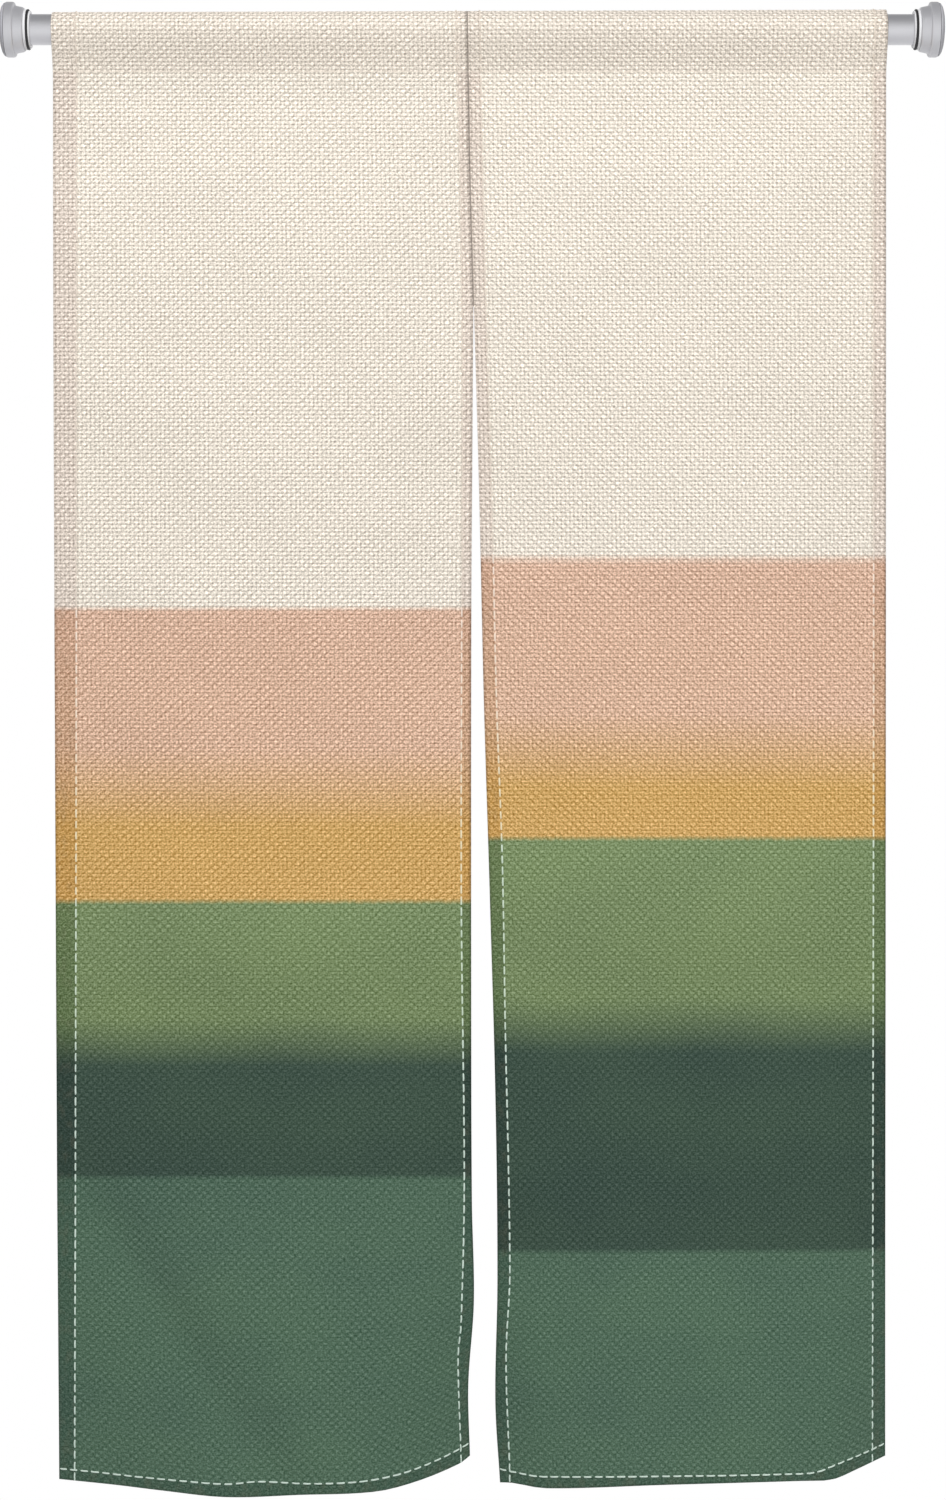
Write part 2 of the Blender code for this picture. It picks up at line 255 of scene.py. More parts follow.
# Sewn lines of the hems in millimetres: height and x of the upright ones, x and height at the foot
LEFT_OUTER_STITCH = ((20, 76.7), (-735, 76.2), (-1480, 74.8))
LEFT_SLIT_STITCH = (
    (20, 463.6), (-278, 469.6), (-888, 469.0), (-1174, 471.9), (-1319, 468.6), (-1355, 465.5),
    (-1455, 468.4),
)
RIGHT_SLIT_STITCH = (
    (20, 487.5), (-278, 494.0), (-480, 500.2), (-684, 505.0), (-850, 511.0), (-1006, 513.8),
    (-1265, 518.8), (-1356, 515.0), (-1470, 518.8),
)
RIGHT_OUTER_STITCH = ((20, 889.5), (-735, 889.6), (-1480, 887.9))
LEFT_FOOT_STITCH = (
    (59.7, -1468.0), (96.1, -1471.5), (139.0, -1476.4), (183.6, -1480.7), (229.4, -1484.1),
    (262.4, -1481.6), (317.5, -1483.5), (364.1, -1481.7), (396.9, -1476.1), (418.0, -1469.9),
    (438.9, -1461.6), (461.3, -1450.8), (477.8, -1441.4),
)
RIGHT_FOOT_STITCH = (
    (506.3, -1467.6), (528.3, -1472.5), (551.2, -1476.3), (712.4, -1475.6), (798.2, -1473.8),
    (830.8, -1471.8), (852.2, -1463.6), (882.9, -1450.6), (900.2, -1442.1),
)

PANELS = {
    "left": {
        "foot": LEFT_PANEL_FOOT, "folds": LEFT_PANEL_FOLDS, "curls": LEFT_PANEL_CURLS,
        "stitch_left": LEFT_OUTER_STITCH, "stitch_right": LEFT_SLIT_STITCH,
        "stitch_foot": LEFT_FOOT_STITCH,
    },
    "right": {
        "foot": RIGHT_PANEL_FOOT, "folds": RIGHT_PANEL_FOLDS, "curls": RIGHT_PANEL_CURLS,
        "stitch_left": RIGHT_SLIT_STITCH, "stitch_right": RIGHT_OUTER_STITCH,
        "stitch_foot": RIGHT_FOOT_STITCH,
    },
}


def smooth_curve(table, at):
    """Values of a smooth curve through the rows (place, value) of a table."""
    rows = np.array(sorted(table), float)
    place, value = rows[:, 0], rows[:, 1]
    index = np.arange(len(rows))
    before = np.maximum(index - 1, 0)
    after = np.minimum(index + 1, len(rows) - 1)
    slope = (value[after] - value[before]) / (place[after] - place[before])
    at = np.clip(at, place[0], place[-1])
    i = np.clip(np.searchsorted(place, at) - 1, 0, len(rows) - 2)
    span = place[i + 1] - place[i]
    t = (at - place[i]) / span
    rise = (value[i + 1] - value[i]) * t * t * (3.0 - 2.0 * t)
    return value[i] + rise + t * (1.0 - t) ** 2 * slope[i] * span + t * t * (t - 1.0) * slope[i + 1] * span


def smooth_step(low, high, at):
    """Smooth rise from 0 at the low place to 1 at the high one."""
    share = np.clip((at - low) / (high - low), 0.0, 1.0)
    return share * share * (3.0 - 2.0 * share)


def panel_edges(side, z):
    """Left and right edges of a panel at heights z."""
    height = z / MM
    join = smooth_curve(JOIN_LINE, height) * MM
    if side == "left":
        outer = smooth_curve(LEFT_PANEL_OUTER, height) * MM
        slit = smooth_curve(LEFT_PANEL_SLIT, height) * MM
        return outer, np.where(z > SLIT_TOP_Z, join - SEAM_GAP / 2, slit)
    outer = smooth_curve(RIGHT_PANEL_OUTER, height) * MM
    slit = smooth_curve(RIGHT_PANEL_SLIT, height) * MM
    return np.where(z > SLIT_TOP_Z, join + SEAM_GAP / 2, slit), outer


def trough_depth(x, z):
    """How far the diagonal trough sets the lower left cloth back."""
    run_x = TROUGH_END[0] - TROUGH_START[0]
    run_z = TROUGH_END[1] - TROUGH_START[1]
    length = math.hypot(run_x, run_z)
    along = ((x - TROUGH_START[0]) * run_x + (z - TROUGH_START[1]) * run_z) / length ** 2
    aside = ((x - TROUGH_START[0]) * run_z - (z - TROUGH_START[1]) * run_x) / length
    begun = smooth_step(-TROUGH_FADE, TROUGH_FADE, along)
    return TROUGH_DEPTH * begun * np.exp(-(aside / TROUGH_HALF_WIDTH) ** 2)


def fold_depth(side, share, x, z):
    """Distance that the hanging cloth stands behind the rod's middle plane."""
    drop = np.clip((z - POCKET_SEAM_Z) / (FOOT_DROP_Z - POCKET_SEAM_Z), 0.0, 1.0)
    depth = smooth_curve(PANELS[side]["folds"], share) * MM * drop ** FOLD_GROWTH
    for start, deepest, curl in PANELS[side]["curls"]:
        reach = np.clip((share - start) / (deepest - start), 0.0, 1.0)
        depth = depth + curl * MM * reach ** CURL_SHAPE * drop ** CURL_GROWTH
    if side == "left":
        depth = depth + trough_depth(x, z)
    return depth


# Small unevenness of cloth that was folded and pressed: long, low waves in all directions
RIPPLE_COUNT = 16
RIPPLE_SEED = 11
RIPPLE_SHORTEST = 0.05
RIPPLE_LONGEST = 0.19
RIPPLE_STEEPNESS = 0.0022

wave_draw = np.random.default_rng(RIPPLE_SEED)
RIPPLES = []
while len(RIPPLES) < RIPPLE_COUNT:
    wave_length = wave_draw.uniform(RIPPLE_SHORTEST, RIPPLE_LONGEST)
    wave_turn = wave_draw.uniform(0.0, math.pi)
    RIPPLES.append((
        RIPPLE_STEEPNESS * wave_length, math.cos(wave_turn) * math.tau / wave_length,
        math.sin(wave_turn) * math.tau / wave_length, wave_draw.uniform(0.0, math.tau)))


def ripple(x, z):
    """Height of the small unevenness, towards the viewer."""
    total = 0.0
    for height, turn_x, turn_z, phase in RIPPLES:
        total = total + height * np.sin(turn_x * x + turn_z * z + phase)
    return total


def pucker(along, pitch):
    """Uneven gathers, from -1 to 1, that a sewn line makes along its length."""
    turn = math.tau / pitch * along
    total = sum(strength * np.sin(rate * turn + start) for strength, rate, start in PUCKER_WAVES)
    return total / sum(wave[0] for wave in PUCKER_WAVES)


def gathers(form, along, away):
    """Height of a sewn line's gathers at distances along it and away from it."""
    height, pitch, highest, reach = form
    return height * pucker(along, pitch) * np.exp(-((away - highest) / reach) ** 2)


def pocket_line():
    """Middle line of the pocket: from the sewn line up the front, over the rod, down to the flap's end."""
    lean = math.acos(POCKET_RADIUS / -POCKET_SEAM_Z)
    touch_y = POCKET_RADIUS * math.sin(lean)
    touch_z = -POCKET_RADIUS * math.cos(lean)
    share = np.linspace(0.0, 1.0, SLANT_POINTS)
    turn = lean + (math.tau - 2 * lean) * share
    sag = SLANT_SAG * smooth_step(0.0, 1.0, share) + (1.0 - SLANT_SAG) * share
    back_y = touch_y + (CLOTH - touch_y) * sag
    climb_z = POCKET_SEAM_Z + (touch_z - POCKET_SEAM_Z) * share
    flap_end = POCKET_SEAM_Z - FLAP_LENGTH
    y = np.concatenate([-touch_y * sag[:-1], -POCKET_RADIUS * np.sin(turn), back_y[1:], [CLOTH]])
    z = np.concatenate([climb_z[:-1], -POCKET_RADIUS * np.cos(turn), climb_z[::-1][1:], [flap_end]])
    distance = np.concatenate([[0.0], np.cumsum(np.hypot(np.diff(y), np.diff(z)))])
    crease = np.zeros(len(y))
    over_rod = slice(SLANT_POINTS - 1, 2 * SLANT_POINTS - 1)
    crease[over_rod] = np.exp(-((turn - math.pi) / POCKET_CREASE_SPREAD) ** 2)
    return distance, y, z, crease


POCKET_AT, POCKET_Y, POCKET_Z, POCKET_CREASE = pocket_line()
CLOTH_TOP = POCKET_AT[-1]
SLANT = math.sqrt(POCKET_SEAM_Z ** 2 - POCKET_RADIUS ** 2)


def hem_edge(side, share, z):
    """How far outside the upright sewn lines a place is, in metres; negative between them."""
    left, right = panel_edges(side, z)
    x = left + share * (right - left)
    from_left = smooth_curve(PANELS[side]["stitch_left"], z / MM) * MM - x
    from_right = x - smooth_curve(PANELS[side]["stitch_right"], z / MM) * MM
    return np.maximum(from_left, from_right)


def cloth_surface(side, share, flat):
    """Middle surface at shares of the width and flat distances above the pocket's sewn line."""
    share, flat = np.broadcast_arrays(np.asarray(share, float), np.asarray(flat, float))
    corner_left, corner_right = panel_edges(side, np.array(FOOT_CORNER_Z))
    foot_x = corner_left + share * (corner_right - corner_left)
    foot = smooth_curve(PANELS[side]["foot"], foot_x / MM) * MM
    below = np.minimum(flat, 0.0)
    settle = smooth_step(SETTLE_FROM_Z, POCKET_SEAM_Z - BODY_LENGTH, POCKET_SEAM_Z + below)
    z = POCKET_SEAM_Z + below + settle * (foot - POCKET_SEAM_Z + BODY_LENGTH)
    left, right = panel_edges(side, z)
    x = left + share * (right - left)
    depth = fold_depth(side, share, x, z)
    free = smooth_step(0.0, FREE_BELOW_SEAM, -below)
    depth = depth - free * ripple(x, z)
    depth = depth - gathers(POCKET_PUCKER, x, -below) * smooth_step(0.0, 0.003, -below)
    depth = depth - gathers(SIDE_PUCKER, z, -hem_edge(side, share, z)) * free
    depth = depth - gathers(FOOT_PUCKER, x + FOOT_PUCKER_SHIFT, z - foot)
    scale = (depth - EYE[1]) / -EYE[1]
    body = np.stack([EYE[0] + (x - EYE[0]) * scale, depth, EYE[2] + (z - EYE[2]) * scale], axis=-1)

    above = np.maximum(flat, 0.0)
    wrap_y = np.interp(above, POCKET_AT, POCKET_Y)
    wrap_z = np.interp(above, POCKET_AT, POCKET_Z)
    crease = np.interp(above, POCKET_AT, POCKET_CREASE)
    left, right = panel_edges(side, wrap_z)
    wrap_x = left + share * (right - left)
    along = (wrap_x - LEFT_PANEL_OUTER[0][1] * MM) / (RIGHT_PANEL_OUTER[0][1] * MM)
    lift = POCKET_CREASE_LOW + (POCKET_CREASE_HIGH - POCKET_CREASE_LOW) * along
    slack = np.sin(math.pi * np.clip(above / SLANT, 0.0, 1.0))
    wrap_y = wrap_y - POCKET_SLACK * slack * pucker(wrap_x, POCKET_SLACK_PITCH)
    hem_under = smooth_step(-FOLD_PAST_STITCH, 0.0005, hem_edge(side, share, wrap_z))
    behind = smooth_step(CLOTH_TOP - FLAP_LENGTH - FLAP_EASE, CLOTH_TOP - FLAP_LENGTH, above)
    wrap_y = wrap_y + CLOTH * hem_under * behind
    wrap = np.stack([wrap_x, wrap_y, wrap_z + crease * lift], axis=-1)
    return np.where((flat > 0.0)[..., None], wrap, body)


def cloth_frames(side, share, flat):
    """Points of the middle surface, and its normals on the outer side."""
    step = 0.0005
    side_step = step / 0.425
    across = cloth_surface(side, share + side_step, flat) - cloth_surface(side, share - side_step, flat)
    upward = cloth_surface(side, share, flat + step) - cloth_surface(side, share, flat - step)
    normal = np.cross(across, upward)
    normal /= np.linalg.norm(normal, axis=-1, keepdims=True)
    return cloth_surface(side, share, flat), normal


def stitch_distance(side, points, flat):
    """Distance inside the nearest sewn line of a hem, as seen from the front; negative in the hem."""
    scale = (points[..., 1] - EYE[1]) / -EYE[1]
    x = EYE[0] + (points[..., 0] - EYE[0]) / scale
    z = EYE[2] + (points[..., 2] - EYE[2]) / scale
    z = np.where(flat > 0.0, points[..., 2], z)
    x = np.where(flat > 0.0, points[..., 0], x)
    from_left = x - smooth_curve(PANELS[side]["stitch_left"], z / MM) * MM
    from_right = smooth_curve(PANELS[side]["stitch_right"], z / MM) * MM - x
    from_foot = z - smooth_curve(PANELS[side]["stitch_foot"], x / MM) * MM
    return np.minimum(np.minimum(from_left, from_right), from_foot)


def zip_edges(first, second, first_at, second_at):
    """Triangles between two rows of points, given the place of each point along the edge."""
    faces = []
    i = j = 0
    while i < len(first) - 1 or j < len(second) - 1:
        step_first = j == len(second) - 1
        if not step_first and i < len(first) - 1:
            step_first = first_at[i + 1] <= second_at[j + 1]
        if step_first:
            faces.append((first[i], first[i + 1], second[j]))
            i += 1
        else:
            faces.append((first[i], second[j + 1], second[j]))
            j += 1
    return faces


def grid_faces(rows, columns, start):
    """Quads of a grid whose points are numbered from start, row by row."""
    index = start + np.arange(rows * columns).reshape(rows, columns)
    return np.stack([index[:-1, :-1], index[:-1, 1:], index[1:, 1:], index[1:, :-1]], axis=-1).reshape(-1, 4)


def hem_places(side, heights, offset):
    """Shares of the width of the upright sewn lines, moved towards the middle by an offset."""
    left, right = panel_edges(side, heights)
    line_left = smooth_curve(PANELS[side]["stitch_left"], heights / MM) * MM + offset
    line_right = smooth_curve(PANELS[side]["stitch_right"], heights / MM) * MM - offset
    return (line_left - left) / (right - left), (line_right - left) / (right - left)


def foot_hem_height(side, share):
    """Height of the foot's sewn line above the cut edge, at shares of the width."""
    left, right = panel_edges(side, np.array(FOOT_CORNER_Z))
    x = (left + share * (right - left)) / MM
    return (smooth_curve(PANELS[side]["stitch_foot"], x) - smooth_curve(PANELS[side]["foot"], x)) * MM


def cloth_panel(side, flat_width, materials):
    """Closed mesh of one panel: woven outer face, plainer inner face with the hems' turned layer, rim."""
    weave_columns = round(flat_width / WARP_PITCH)
    weave_rows = round(BODY_LENGTH / WEFT_PITCH) * 2
    row_step = WEFT_PITCH / 2
    pocket_rows = int(CLOTH_TOP / row_step)
    flat = np.arange(-weave_rows, pocket_rows + 1) * row_step
    flat[0] += EDGE_INSET
    share = np.arange(weave_columns + 1) / weave_columns
    share[0] += EDGE_INSET / flat_width
    share[-1] -= EDGE_INSET / flat_width
    share_grid, flat_grid = np.meshgrid(share, flat)
    points, normals = cloth_frames(side, share_grid, flat_grid)
    distance = stitch_distance(side, points, flat_grid)
    column_number, row_number = np.meshgrid(np.arange(len(share)), np.arange(len(flat)))
    crest = row_number % 2 == 0
    over = (column_number + row_number // 2) % 2 == 0
    relief = np.where(crest, np.where(over, WEFT_OVER, WEFT_UNDER), WEFT_GROOVE)
    relief *= 1.0 - HEM_FLATNESS + HEM_FLATNESS * smooth_step(-0.004, 0.002, distance)
    edge_column = (column_number == 0) | (column_number == len(share) - 1)
    relief[edge_column] = 0.0
    relief[0] = 0.0
    relief[-1] = 0.0
    outer = points + normals * (CLOTH / 2 + relief)[..., None]

    body_flat = np.linspace(-BODY_LENGTH + FOOT_CLEAR, -SEAM_CLEAR, INNER_BODY_ROWS)
    pocket_flat = np.linspace(0.0, CLOTH_TOP, INNER_POCKET_ROWS)
    pocket_heights = np.interp(pocket_flat, POCKET_AT, POCKET_Z)
    foot_flat = np.full(INNER_FOOT_ROWS, -BODY_LENGTH)
    inner_flat = np.concatenate([foot_flat, body_flat, pocket_flat])
    inner_heights = np.concatenate([POCKET_SEAM_Z + foot_flat, POCKET_SEAM_Z + body_flat, pocket_heights])
    near_left, near_right = hem_places(side, inner_heights, FOLD_PAST_STITCH - HEM_STEP)
    far_left, far_right = hem_places(side, inner_heights, FOLD_PAST_STITCH + HEM_STEP)
    middle = np.linspace(0.0, 1.0, INNER_COLUMNS)[None, :]
    between = far_left[:, None] + (far_right - far_left)[:, None] * middle
    zero = np.zeros(len(inner_flat))
    inner_share = np.column_stack([
        zero, near_left / 2, near_left, between, near_right, (near_right + 1) / 2, zero + 1])
    inner_flat = np.broadcast_to(inner_flat[:, None], inner_share.shape).copy()
    foot_fold = foot_hem_height(side, inner_share[0]) + FOLD_PAST_STITCH
    inner_flat[1] += foot_fold - HEM_STEP
    inner_flat[2] += foot_fold + HEM_STEP
    hem = np.zeros(inner_share.shape)
    hem[:, :3] = 1.0
    hem[:, -3:] = 1.0
    hem[:2] = 1.0
    hem[INNER_FOOT_ROWS + INNER_BODY_ROWS - 1:] = 0.0
    rim_points, rim_normals = cloth_frames(side, inner_share, inner_flat)
    rim = rim_points - rim_normals * (CLOTH / 2 * hem)[..., None]
    set_in_share = np.clip(inner_share, EDGE_INSET / flat_width, 1.0 - EDGE_INSET / flat_width)
    set_in_flat = np.clip(inner_flat, -BODY_LENGTH + EDGE_INSET, CLOTH_TOP - EDGE_INSET)
    inner_points, inner_normals = cloth_frames(side, set_in_share, set_in_flat)
    inner = inner_points - inner_normals * (CLOTH / 2 + CLOTH * hem)[..., None]
    inner_distance = stitch_distance(side, inner_points, set_in_flat)

    rows, columns = outer.shape[:2]
    back_rows, back_columns = inner.shape[:2]
    inner_start = rows * columns
    rim_start = inner_start + back_rows * back_columns
    outer_index = np.arange(rows * columns).reshape(rows, columns)
    inner_index = inner_start + np.arange(back_rows * back_columns).reshape(back_rows, back_columns)
    border = np.zeros((back_rows, back_columns), bool)
    border[0] = border[-1] = True
    border[:, 0] = border[:, -1] = True
    rim_index = np.full((back_rows, back_columns), -1)
    rim_index[border] = rim_start + np.arange(border.sum())
    points = np.concatenate([outer.reshape(-1, 3), inner.reshape(-1, 3), rim[border]])
    faces = grid_faces(rows, columns, 0).tolist()
    faces += grid_faces(back_rows, back_columns, inner_start)[:, ::-1].tolist()
    sides = (
        (outer_index[:, 0], rim_index[:, 0], inner_index[:, 0], flat, inner_flat[:, 0]),
        (outer_index[:, -1], rim_index[:, -1], inner_index[:, -1], flat, inner_flat[:, -1]),
        (outer_index[0], rim_index[0], inner_index[0], share, inner_share[0]),
        (outer_index[-1], rim_index[-1], inner_index[-1], share, inner_share[-1]),
    )
    for outer_side, rim_side, inner_side, outer_at, inner_at in sides:
        faces += zip_edges(outer_side, rim_side, outer_at, inner_at)
        faces += zip_edges(rim_side, inner_side, inner_at, inner_at)
    mesh = bpy.data.meshes.new("curtain_" + side)
    mesh.from_pydata(points.tolist(), [], [tuple(int(i) for i in face) for face in faces])
    place = np.concatenate([
        np.stack([share_grid * flat_width, flat_grid], axis=-1).reshape(-1, 2),
        np.stack([set_in_share * flat_width, set_in_flat], axis=-1).reshape(-1, 2),
        np.stack([inner_share * flat_width, inner_flat], axis=-1)[border],
    ])
    inside = np.concatenate([distance.ravel(), inner_distance.ravel(), inner_distance[border]])
    corner_point = np.empty(len(mesh.loops), np.int32)
    mesh.loops.foreach_get("vertex_index", corner_point)
    mesh.uv_layers.new(name="flat_cloth").data.foreach_set("uv", place[corner_point].ravel())
    mesh.attributes.new("stitch_distance", "FLOAT", "POINT").data.foreach_set("value", inside)
    for material in materials:
        mesh.materials.append(material)
    mesh.shade_smooth()
    panel = bpy.data.objects.new("curtain_" + side, mesh)
    scene.collection.objects.link(panel)
    return panel


# Cloth finish: cream cotton and linen, dyed in level bands that shade into each other and step at the
# slit. It is matt. The floats lean towards the slit on both panels and get a painted highlight, the
# holes between threads get a painted shade, and the threads vary. The pocket, the strip under it and
# the dyed cut edges are painted a shade darker.
CREAM = ("#e8dfd2", "#dccfc3", "#e8ddd0")
BLUSH = ("#d9b59e", "#cda78f", "#fcebdd")
ROSE = ("#dbb69c", "#cca586", "#fcead4")
OCHRE = ("#d1a866", "#c89c59", "#f9edca")
LEAF = ("#7e9267", "#6c7f56", "#dcedd9")
MOSS = ("#798c62", "#657951", "#dcedd6")
DEEP = ("#415549", "#35473e", "#d9ebdf")
SEA = ("#55705d", "#486151", "#dbede1")

LEFT_BANDS = (
    (0, CREAM), (545, CREAM), (546.5, BLUSH), (690, ROSE), (770, OCHRE), (845, OCHRE), (846.5, LEAF),
    (935, MOSS), (965, MOSS), (1015, DEEP), (1125, DEEP), (1126.5, SEA), (1500, SEA),
)
RIGHT_BANDS = (
    (0, CREAM), (497, CREAM), (498.5, BLUSH), (655, ROSE), (730, OCHRE), (780, OCHRE), (781.5, LEAF),
    (905, MOSS), (945, MOSS), (1000, DEEP), (1205, DEEP), (1206.5, SEA), (1500, SEA),
)
BAND_END = 1.5
FACE_TONE, HEM_TONE, THREAD_TONE = 0, 1, 2
STAIN = "#6f6a58"
STAIN_SHARE = 0.16
CLOUD_TINT = (0.38, 0.36, 0.18)
DYE_CREEP = 0.0025
DYED_LIGHTNESS = (0.66, 0.55)
DARK_LIGHTNESS = (0.42, 0.07)
CONTRAST_LEAST, CONTRAST_RISE, CONTRAST_MOST = 0.05, 0.74, 0.41
DISPLAY_GAMMA = 2.2

HEM_FROM, HEM_TO = 0.0006, -0.0004
POCKET_FROM, POCKET_TO = -0.0005, 0.0005
# The pocket is painted a shade darker by tinting it towards the turned tone
POCKET_SHADE_TINT, POCKET_HEM_SHADE_TINT = 0.20, 0.45
# Painted shade: the strip under the pocket and the dyed cut edges are darkened
POCKET_SHADE_FROM, POCKET_SHADE_TO = -0.038, -0.012
LEFT_POCKET_SHADE, RIGHT_POCKET_SHADE = 0.07, 0.02
EDGE_SHADE, EDGE_SHADE_WIDTH = 0.32, 0.0022

FLOAT_LEAN = 0.5
THREAD_DRIFT = 0.25
MEAN_ROUND = 0.64
MEAN_CROSSING_SHADE = 0.30
SUNK_WIDTH = 0.0015

# Unevenness of the cloth in cycles a metre across and up, its detail, and where its noise starts. The
# fibres are drawn about 2 mm wide, because real ones would be too fine to show.
UNEVEN = {
    "fibre": ((520, 640), 2.0, 9.1), "weft_slub": ((45, 320), 3.0, 1.7), "warp_slub": ((300, 40), 3.0, 5.3),
    "weft_drift": ((30, 150), 2.0, 3.1), "warp_drift": ((160, 25), 2.0, 7.7),
    "creep": ((240, 60), 3.0, 4.4), "stain": ((110, 70), 3.0, 6.6), "blotch": ((7, 7), 3.0, 2.2),
    "cloud": ((6, 9), 2.0, 4.9),
}

# Strength of each trait in the threads' colour on undyed cloth, and what dyed and dark cloth add to it.
# The thread backs and floats carry a painted highlight, and the grooves and crossings a painted shade.
WEFT_GAIN = (0.58, -0.14, -0.20)
WARP_GAIN = (0.37, -0.08, -0.24)
FLOAT_GAIN = (0.165, 0.0, 0.16)
CROSSING_SHADE_GAIN = (0.22, 0.0, -0.22)
CHANCE_GAIN = (0.075, 0.01, 0.02)
FIBRE_GAIN = (1.42, 0.12, 0.85)
WEFT_SLUB_GAIN = 0.08
WARP_SLUB_GAIN = 0.06
BLOTCH_GAIN = 0.08
HEM_LOSS, DARK_HEM_LOSS = -0.15, -0.25


def band_colour(tree, level, bands, tone):
    """Colour of a panel's bands in one tone, by the share of 1.5 m below the sewn line."""
    stops = [(below * MM / BAND_END, srgb(tones[tone])) for below, tones in bands]
    return colour_stops(tree, level, stops)


def dyed_cloth(name, bands, flat_width, float_lean, pocket_shade):
    """Cloth of one panel: its dye bands with painted shade, its threads' colour and painted light, and their
    low relief.
    """
    material = bpy.data.materials.new(name)
    material.use_nodes = True
    tree = material.node_tree
    shader = tree.nodes["Principled BSDF"]
    place = add_node(tree, "ShaderNodeUVMap", uv_map="flat_cloth").outputs[0]
    inside = add_node(tree, "ShaderNodeAttribute", attribute_name="stitch_distance").outputs["Fac"]
    axes = add_node(tree, "ShaderNodeSeparateXYZ", place)
    across, up = axes.outputs["X"], axes.outputs["Y"]

    def uneven(trait):
        """Unevenness of a trait over the cloth, from -0.5 to 0.5."""
        stretch, detail, start = UNEVEN[trait]
        moved = add_node(tree, "ShaderNodeMapping", inputs={
            "Vector": place, "Scale": (*stretch, 1.0), "Location": (start, start, 0.0)}).outputs[0]
        noise = add_node(tree, "ShaderNodeTexNoise", inputs={
            "Vector": moved, "Scale": 1.0, "Detail": detail}, noise_dimensions="2D").outputs[0]
        return add_node(tree, "ShaderNodeMath", noise, 0.5, operation="SUBTRACT").outputs[0]

    def added(total, traits):
        """A total with traits added, each at its own strength."""
        for trait, strength in traits:
            total = add_node(
                tree, "ShaderNodeMath", trait, strength, total, operation="MULTIPLY_ADD").outputs[0]
        return total

    # The dye, its edges a little uneven, and how dyed and how dark the cloth is
    crept = added(up, [(uneven("creep"), DYE_CREEP)])
    level = add_node(tree, "ShaderNodeMath", crept, -1.0 / BAND_END, operation="MULTIPLY").outputs[0]
    face = band_colour(tree, level, bands, FACE_TONE)
    turned = band_colour(tree, level, bands, HEM_TONE)
    lightness = add_node(tree, "ShaderNodeRGBToBW", face).outputs[0]
    dyed = add_node(tree, "ShaderNodeMapRange", lightness, *DYED_LIGHTNESS).outputs[0]
    dark = add_node(tree, "ShaderNodeMapRange", lightness, *DARK_LIGHTNESS).outputs[0]
    light = add_node(tree, "ShaderNodeMath", 1.0, dark, operation="SUBTRACT").outputs[0]
    hem = add_node(tree, "ShaderNodeMapRange", inside, HEM_FROM, HEM_TO).outputs[0]
    dyed_hem = add_node(tree, "ShaderNodeMath", hem, dyed, operation="MULTIPLY").outputs[0]
    pocket = add_node(tree, "ShaderNodeMapRange", up, POCKET_FROM, POCKET_TO).outputs[0]

    def gain(undyed, dyed_change, dark_change):
        """Strength of a trait, changed where the cloth is dyed and where it is dark."""
        return added(undyed, [(dyed, dyed_change), (dark, dark_change)])

    def thread_waves(along, pitch, drift):
        """Number of the nearest thread of one direction, its wave and slope, and its round back."""
        count = add_node(tree, "ShaderNodeMath", along, pitch, operation="DIVIDE").outputs[0]
        count = added(count, [(uneven(drift), THREAD_DRIFT)])
        number = add_node(tree, "ShaderNodeMath", count, operation="ROUND").outputs[0]
        turn = add_node(tree, "ShaderNodeMath", count, math.pi, operation="MULTIPLY").outputs[0]
        wave = add_node(tree, "ShaderNodeMath", turn, operation="COSINE").outputs[0]
        slope = add_node(tree, "ShaderNodeMath", turn, operation="SINE").outputs[0]
        back = add_node(tree, "ShaderNodeMath", wave, operation="ABSOLUTE").outputs[0]
        return number, wave, slope, back

    # Where threads cross, one floats over the other, leaning a little on light cloth
    weft_number, weft_wave, weft_slope, weft_back = thread_waves(up, WEFT_PITCH, "weft_drift")
    warp_number, warp_wave, warp_slope, warp_back = thread_waves(across, WARP_PITCH, "warp_drift")
    slant = add_node(tree, "ShaderNodeMath", weft_slope, warp_slope, operation="MULTIPLY").outputs[0]
    light_share = add_node(tree, "ShaderNodeMath", light, light, operation="MULTIPLY").outputs[0]
    slant = add_node(tree, "ShaderNodeMath", slant, light_share, operation="MULTIPLY").outputs[0]
    upright = add_node(tree, "ShaderNodeMath", weft_wave, warp_wave, operation="MULTIPLY").outputs[0]
    crossing = added(upright, [(slant, float_lean)])
    squared = add_node(tree, "ShaderNodeMath", crossing, crossing, operation="MULTIPLY").outputs[0]
    crossing_shade = add_node(tree, "ShaderNodeMath", MEAN_CROSSING_SHADE, squared, operation="SUBTRACT").outputs[0]

    def proud(beside, above):
        """How far a float stands out by chance, from 0 to 1, given by its place from this one."""
        x = add_node(tree, "ShaderNodeMath", warp_number, beside, operation="ADD").outputs[0]
        y = add_node(tree, "ShaderNodeMath", weft_number, above, operation="ADD").outputs[0]
        cell = add_node(tree, "ShaderNodeCombineXYZ", x, y).outputs[0]
        return add_node(tree, "ShaderNodeTexWhiteNoise", cell, noise_dimensions="2D").outputs["Value"]

    chance = added(proud(0, 0), [(proud(0, 1), -1.0), (proud(1, 1), 0.5), (proud(1, 0), -0.5)])
    weft_rise = add_node(tree, "ShaderNodeMath", weft_back, MEAN_ROUND, operation="SUBTRACT").outputs[0]
    warp_rise = add_node(tree, "ShaderNodeMath", warp_back, MEAN_ROUND, operation="SUBTRACT").outputs[0]
    weft_slub = uneven("weft_slub")
    fibre = uneven("fibre")
    loss = added(HEM_LOSS, [(dark, DARK_HEM_LOSS)])
    coarse = added(1.0, [(dyed_hem, loss)])
